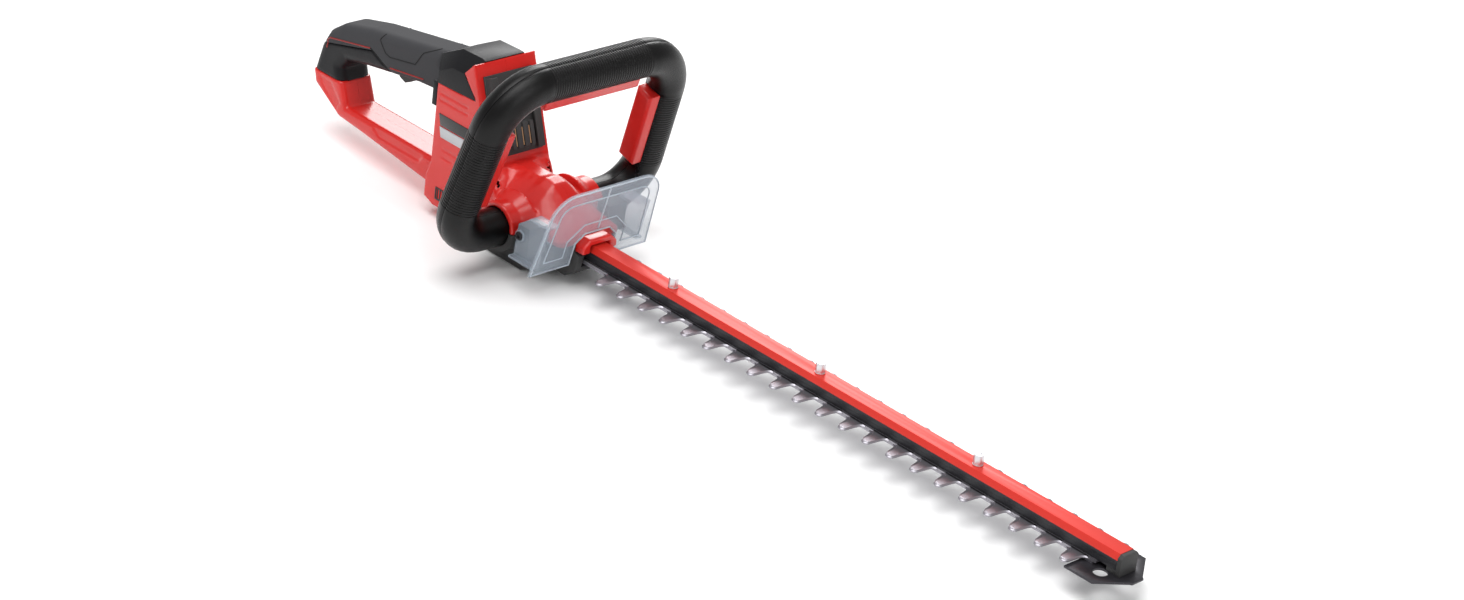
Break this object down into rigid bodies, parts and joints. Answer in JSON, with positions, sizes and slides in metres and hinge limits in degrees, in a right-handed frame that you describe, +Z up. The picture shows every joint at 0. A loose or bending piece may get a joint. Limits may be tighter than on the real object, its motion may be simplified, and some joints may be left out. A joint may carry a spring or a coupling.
{
  "type": "hedge trimmer",
  "caption": "Cordless hedge trimmer: long double-sided reciprocating blades on a rail, bail front handle with switch bars, clear hand guard, closed rear handle with trigger",
  "frame": {"origin": "centre of the flat foot face under the crank axis", "axes": "+X forward along the blades, +Y to the tool's left, +Z up"},
  "size_m": [1.0095, 0.2528, 0.2126],
  "materials": {
    "red_plastic": "satin red ABS",
    "black_plastic": "satin black nylon",
    "soft_grip": "soft charcoal overmould",
    "clear_guard": "smoky clear polycarbonate",
    "blade_steel": "hardened, ground and oiled",
    "black_steel": "black coated steel",
    "red_coat": "red coated aluminium",
    "zinc": "bright zinc plating",
    "gear_steel": "hardened gear steel",
    "cast_case": "die cast, as cast",
    "motor_steel": "drawn steel can",
    "copper": "copper",
    "magnet": "ferrite",
    "board": "green laminate",
    "felt": "oiled felt",
    "label_black": "blank gloss label plate"
  },
  "bodies": {
    "body": {"bar_screws": "zinc", "bar_springs": "zinc", "bar_switches": "black_plastic", "base_cover": "black_plastic", "base_screws": "zinc", "battery_dock": "black_plastic", "blade_bolts": "zinc", "blade_nuts": "zinc", "blade_wiper": "felt", "bolt_sleeves": "gear_steel", "bolt_washers": "zinc", "control_board": "board", "crank_bearings": "gear_steel", "dock_contacts": "copper", "gear_case": "cast_case", "gear_case_cover": "cast_case", "gear_case_screws": "zinc", "guard": "clear_guard", "guard_screws": "black_steel", "guide_bar": "black_steel", "hoop_front_shell": "soft_grip", "hoop_rear_shell": "soft_grip", "housing_left": "red_plastic", "housing_right": "red_plastic", "housing_screws": "zinc", "idler_pin": "gear_steel", "label_plates": "label_black", "main_switch": "black_plastic", "motor_bearings": "gear_steel", "motor_brushes": "magnet", "motor_can": "motor_steel", "motor_end_cap": "black_plastic", "motor_magnets": "magnet", "nose_cap": "red_plastic", "rail_cap": "red_coat", "rail_end_cap": "black_plastic", "rail_profile": "black_steel", "rear_grip": "soft_grip", "rear_grip_underside": "black_plastic", "terminal_block": "black_plastic", "tip_plate": "black_steel", "tower_shroud": "black_plastic", "tower_trim": "black_plastic", "trigger_pin": "gear_steel", "trigger_spring": "zinc", "vent_inserts": "black_plastic"},
    "crank": {"crank_gear": "gear_steel", "crank_shaft": "gear_steel"},
    "idler": {"idler_gear": "gear_steel"},
    "rotor": {"motor_shaft_rod": "gear_steel", "motor_pinion": "copper", "armature": "motor_steel", "commutator": "copper", "motor_fan": "black_plastic"},
    "upper_blade": {"upper_blade_plate": "blade_steel"},
    "lower_blade": {"lower_blade_plate": "blade_steel"},
    "trigger": {"trigger_lever": "black_plastic"},
    "bar_top": {"switch_bar_top": "red_plastic"},
    "bar_right": {"switch_bar_right": "red_plastic"},
    "bar_left": {"switch_bar_left": "red_plastic"}
  },
  "joints": [
    {"name": "crank_spin", "type": "hinge", "parent": "body", "child": "crank", "pos_m": [0, 0, 0.039], "axis": [0, 0, 1], "continuous": true},
    {"name": "idler_spin", "type": "hinge", "parent": "body", "child": "idler", "pos_m": [-0.034, 0, 0.045], "axis": [0, 0, 1], "continuous": true},
    {"name": "rotor_spin", "type": "hinge", "parent": "body", "child": "rotor", "pos_m": [-0.067, 0, 0.075], "axis": [0, 0, 1], "continuous": true},
    {"name": "upper_blade_stroke", "type": "slide", "parent": "body", "child": "upper_blade", "axis": [1, 0, 0], "range_m": [-0.0085, 0.0055]},
    {"name": "lower_blade_stroke", "type": "slide", "parent": "body", "child": "lower_blade", "axis": [1, 0, 0], "range_m": [-0.0055, 0.0085]},
    {"name": "trigger_pull", "type": "hinge", "parent": "body", "child": "trigger", "pos_m": [-0.15, 0, 0.118], "axis": [0, 1, 0], "range_deg": [0, 8], "stiffness_Nm_per_rad": 0.6, "springref_deg": -17.19, "deforming": ["trigger_spring"]},
    {"name": "bar_top_press", "type": "slide", "parent": "body", "child": "bar_top", "axis": [0.2689, 0, 0.9632], "range_m": [0, 0.004], "stiffness_N_per_m": 900, "springref_m": -0.004, "deforming": ["bar_springs"]},
    {"name": "bar_right_press", "type": "slide", "parent": "body", "child": "bar_right", "axis": [0.0203, -0.9972, 0.0726], "range_m": [0, 0.004], "stiffness_N_per_m": 900, "springref_m": -0.004},
    {"name": "bar_left_press", "type": "slide", "parent": "body", "child": "bar_left", "axis": [0.0203, 0.9972, 0.0726], "range_m": [0, 0.004], "stiffness_N_per_m": 900, "springref_m": -0.004}
  ],
  "couplings": [
    {"joint": "idler_spin", "follows": "crank_spin", "ratio": -3.25},
    {"joint": "rotor_spin", "follows": "crank_spin", "ratio": 14.625},
    {"joint": "lower_blade_stroke", "follows": "upper_blade_stroke", "ratio": -1}
  ]
}
